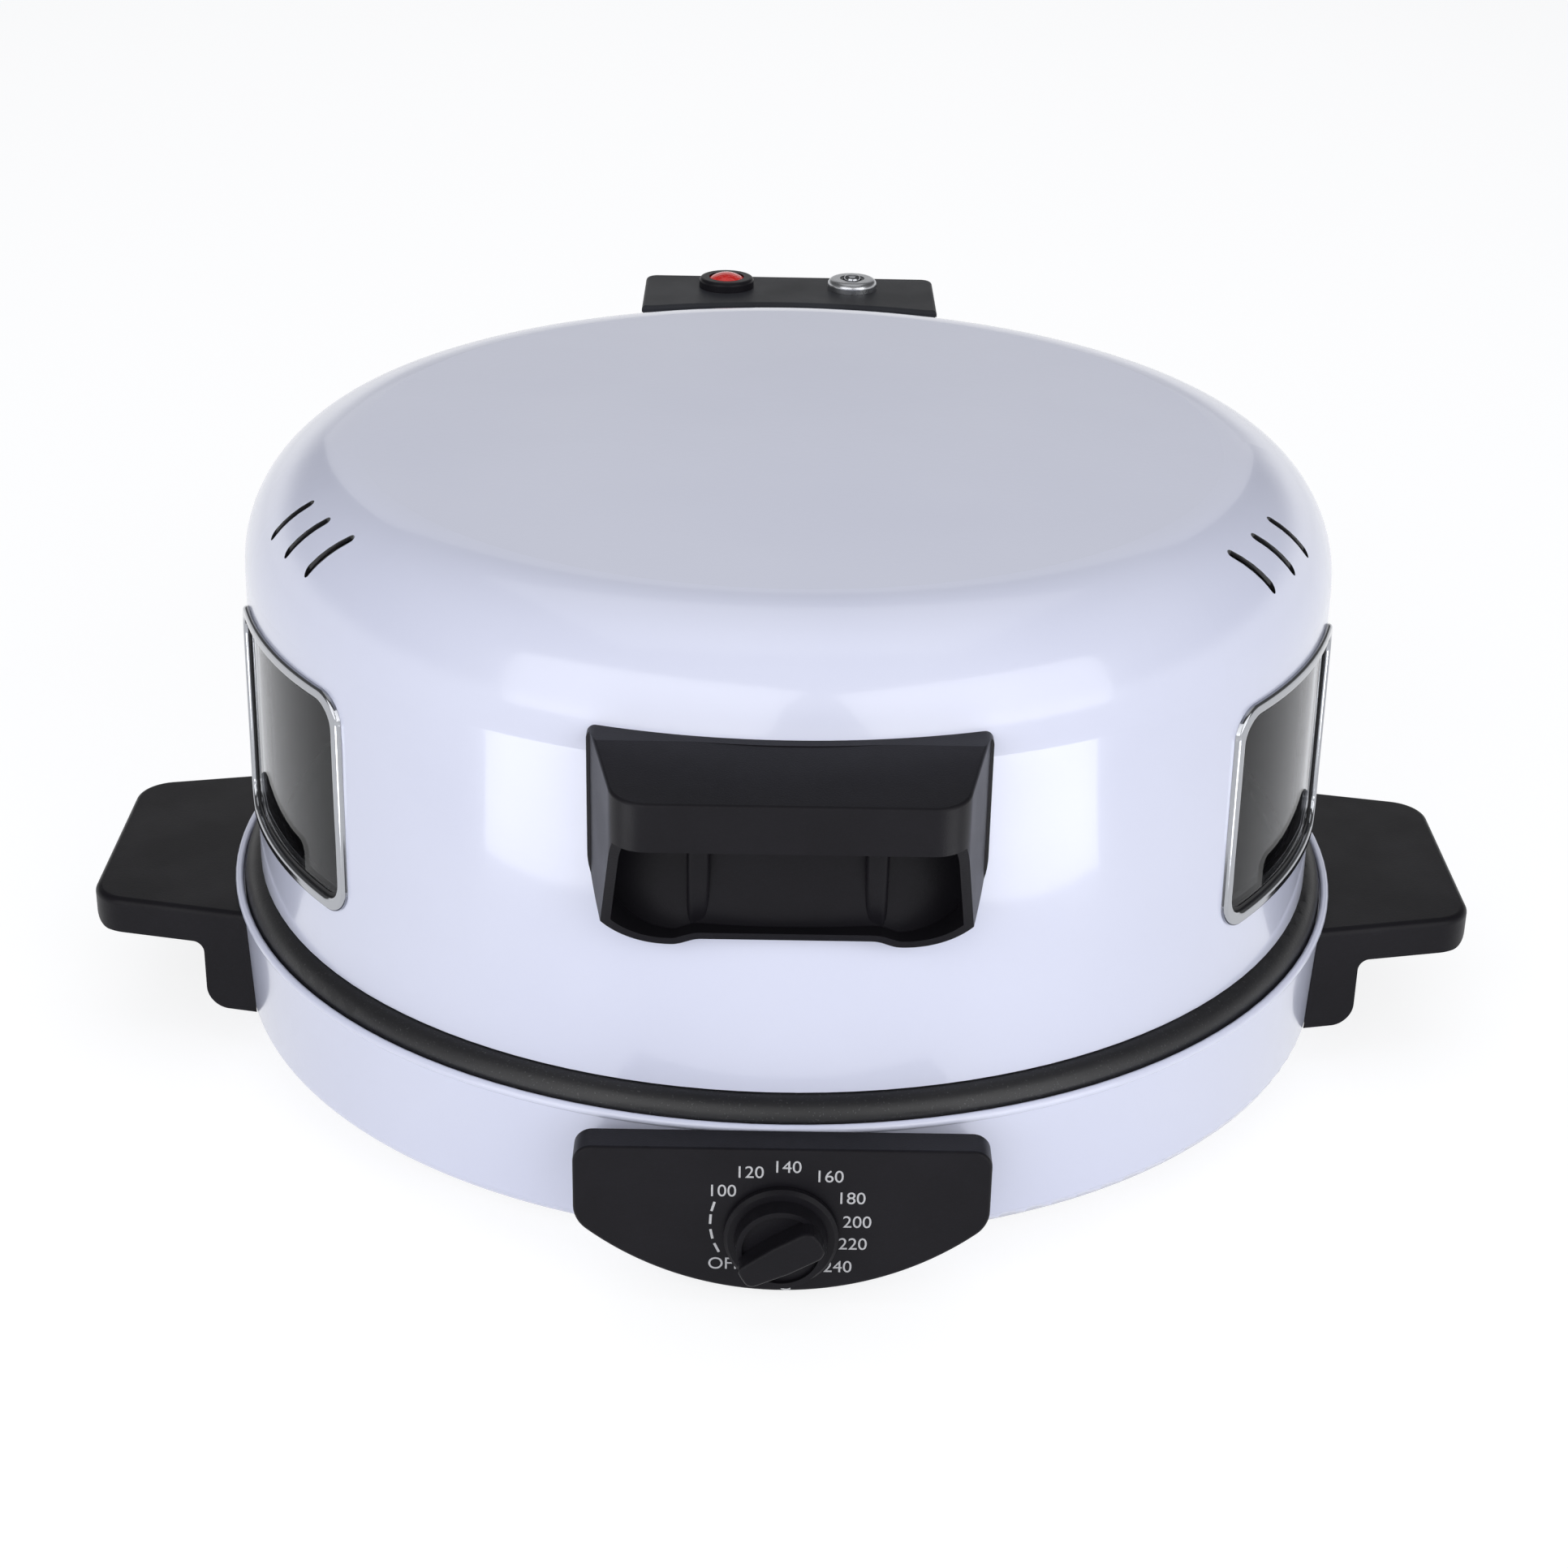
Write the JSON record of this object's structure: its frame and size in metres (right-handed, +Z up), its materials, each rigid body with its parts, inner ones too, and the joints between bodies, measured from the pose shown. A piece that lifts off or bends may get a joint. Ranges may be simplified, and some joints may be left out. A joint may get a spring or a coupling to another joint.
{
  "type": "arabic bread maker",
  "caption": "Round countertop flat-bread cooker: hinged domed lid with two side windows over a heated pan, front thermostat dial and rear control tower.",
  "frame": {"origin": "on the table in the middle of the footprint; the axis of the round lid is 6.6 mm in front of it", "axes": "+X to the machine's right-hand carrying handle, -Y to the front with the thermostat dial, +Z up"},
  "size_m": [0.507, 0.4808, 0.2224],
  "materials": {
    "white_enamel": "glossy white enamel",
    "black_nonstick": "satin black non-stick coating",
    "black_plastic": "satin black heat-proof plastic",
    "dark_grey_plastic": "satin dark grey plastic",
    "aluminised_steel": "dull silver sheet",
    "heater_steel": "dull grey sheathed heating tube",
    "plain_steel": "zinc-plated steel",
    "screw_steel": "zinc-plated screws",
    "chrome_trim": "polished chrome",
    "black_rubber": "matt black rubber",
    "window_glass": "clear heat-proof glass",
    "red_lens": "translucent red lens",
    "grey_moulding": "grey moulded housing"
  },
  "bodies": {
    "base": {"base_shell": "white_enamel", "base_plate": "plain_steel", "base_plate_screws": "screw_steel", "foot_front_right": "black_rubber", "foot_rear_right": "black_rubber", "foot_rear_left": "black_rubber", "foot_front_left": "black_rubber", "foot_screws": "screw_steel", "foot_nuts": "screw_steel", "heat_reflector": "aluminised_steel", "reflector_spacers": "aluminised_steel", "reflector_screws": "screw_steel", "lower_heater": "heater_steel", "lower_heater_clips": "aluminised_steel", "baking_pan": "black_nonstick", "control_panel": "black_plastic", "control_panel_screws": "screw_steel", "thermostat": "grey_moulding", "thermostat_nut": "plain_steel", "side_handle_right": "black_plastic", "side_handle_left": "black_plastic", "side_handle_screws": "screw_steel", "rear_tower": "dark_grey_plastic", "tower_cover": "dark_grey_plastic", "tower_cover_screws": "screw_steel", "tower_mount_screws": "screw_steel", "tower_wire_bush": "black_rubber", "cord_gland": "black_rubber", "lamp_bezel": "black_plastic", "lamp_lens": "red_lens", "switch_body": "grey_moulding", "switch_ring_nut": "chrome_trim", "hinge_bracket_right": "plain_steel", "hinge_bracket_left": "plain_steel", "hinge_bracket_screws": "screw_steel", "hinge_pin_right": "plain_steel", "hinge_pin_left": "plain_steel"},
    "lid": {"lid_shell": "white_enamel", "lid_liner": "aluminised_steel", "lid_wire_bush": "black_rubber", "upper_heater": "heater_steel", "upper_heater_clips": "aluminised_steel", "lid_handle": "black_plastic", "lid_handle_screws": "screw_steel", "lid_hinge_arm_right": "plain_steel", "lid_hinge_arm_left": "plain_steel", "lid_arm_rivets": "plain_steel", "window_frame_right": "chrome_trim", "window_gasket_right": "black_rubber", "window_glass_right": "window_glass", "window_frame_left": "chrome_trim", "window_gasket_left": "black_rubber", "window_glass_left": "window_glass"},
    "dial": {"control_knob": "black_plastic", "thermostat_shaft": "plain_steel"},
    "button": {"switch_button": "chrome_trim"}
  },
  "joints": [
    {"name": "lid_hinge", "type": "hinge", "parent": "base", "child": "lid", "pos_m": [0, 0.1914, 0.19942], "axis": [-1, 0, 0], "range_deg": [0, 95]},
    {"name": "dial_turn", "type": "hinge", "parent": "base", "child": "dial", "pos_m": [0, -0.2256, 0.027], "axis": [0, 1, 0], "range_deg": [0, 250]},
    {"name": "button_press", "type": "slide", "parent": "base", "child": "button", "axis": [0, 0, -1], "range_m": [0, 0.002], "stiffness_N_per_m": 300, "springref_m": -0.004}
  ]
}
